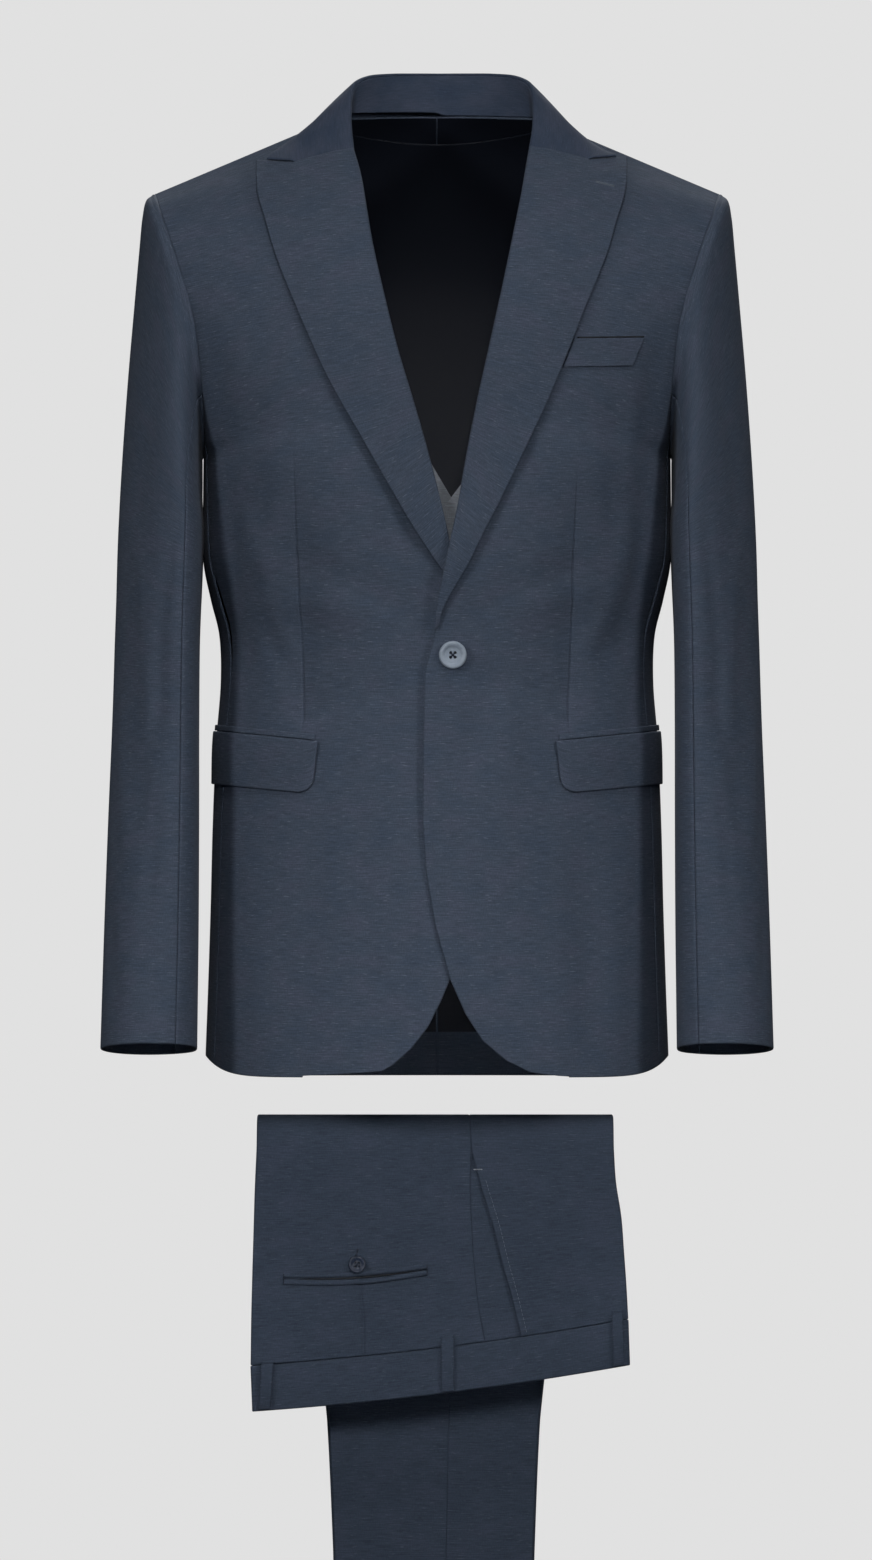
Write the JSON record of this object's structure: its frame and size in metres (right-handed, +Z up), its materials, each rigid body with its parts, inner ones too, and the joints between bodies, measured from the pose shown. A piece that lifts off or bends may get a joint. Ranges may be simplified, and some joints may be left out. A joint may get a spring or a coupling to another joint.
{
  "type": "business suit",
  "caption": "Business suit: hollow, worn-form one-button peak-lapel jacket over a waistcoat, with its trousers folded over a bar below it.",
  "frame": {"origin": "centre of the neck base, where the wearer's neck and shoulders hold the jacket", "axes": "+X to the wearer's left, -Y to the front, +Z up"},
  "size_m": [0.5318, 0.2563, 1.5977],
  "materials": {
    "jacket_worsted": "slate-blue worsted wool, fine slubby weave, matt",
    "trouser_worsted": "slate-blue worsted wool, fine slubby weave, matt",
    "waistcoat_worsted": "mid-grey worsted wool, matt",
    "lining": "dark satin lining",
    "jacket_button": "pale blue-grey resin, four holes, satin",
    "trouser_button": "dark blue resin, satin"
  },
  "bodies": {
    "root": {"front_left": "jacket_worsted", "front_right": "jacket_worsted", "back_left": "jacket_worsted", "back_right": "jacket_worsted", "side_left": "jacket_worsted", "side_right": "jacket_worsted", "sleeve_top_left": "jacket_worsted", "sleeve_top_right": "jacket_worsted", "sleeve_under_left": "jacket_worsted", "sleeve_under_right": "jacket_worsted", "lapel_left": "jacket_worsted", "lapel_right": "jacket_worsted", "collar_fall": "jacket_worsted", "collar_stand": "jacket_worsted", "pocket_flap_left": "jacket_worsted", "pocket_flap_right": "jacket_worsted", "pocket_jet_left": "jacket_worsted", "pocket_jet_right": "jacket_worsted", "chest_welt": "jacket_worsted", "button_front": "jacket_button", "waistcoat_front_left": "waistcoat_worsted", "waistcoat_front_right": "waistcoat_worsted", "waistcoat_back": "lining", "trouser_left_back": "trouser_worsted", "trouser_left_front": "trouser_worsted", "trouser_right_back": "trouser_worsted", "trouser_right_front": "trouser_worsted", "trouser_inner_layers": "trouser_worsted", "waistband_left": "trouser_worsted", "waistband_right": "trouser_worsted", "belt_loop_back": "trouser_worsted", "belt_loop_side": "trouser_worsted", "belt_loop_front": "trouser_worsted", "side_pocket_facing": "trouser_worsted", "back_pocket_jet_upper": "trouser_worsted", "back_pocket_jet_lower": "trouser_worsted", "back_pocket_button": "trouser_button"}
  },
  "joints": []
}
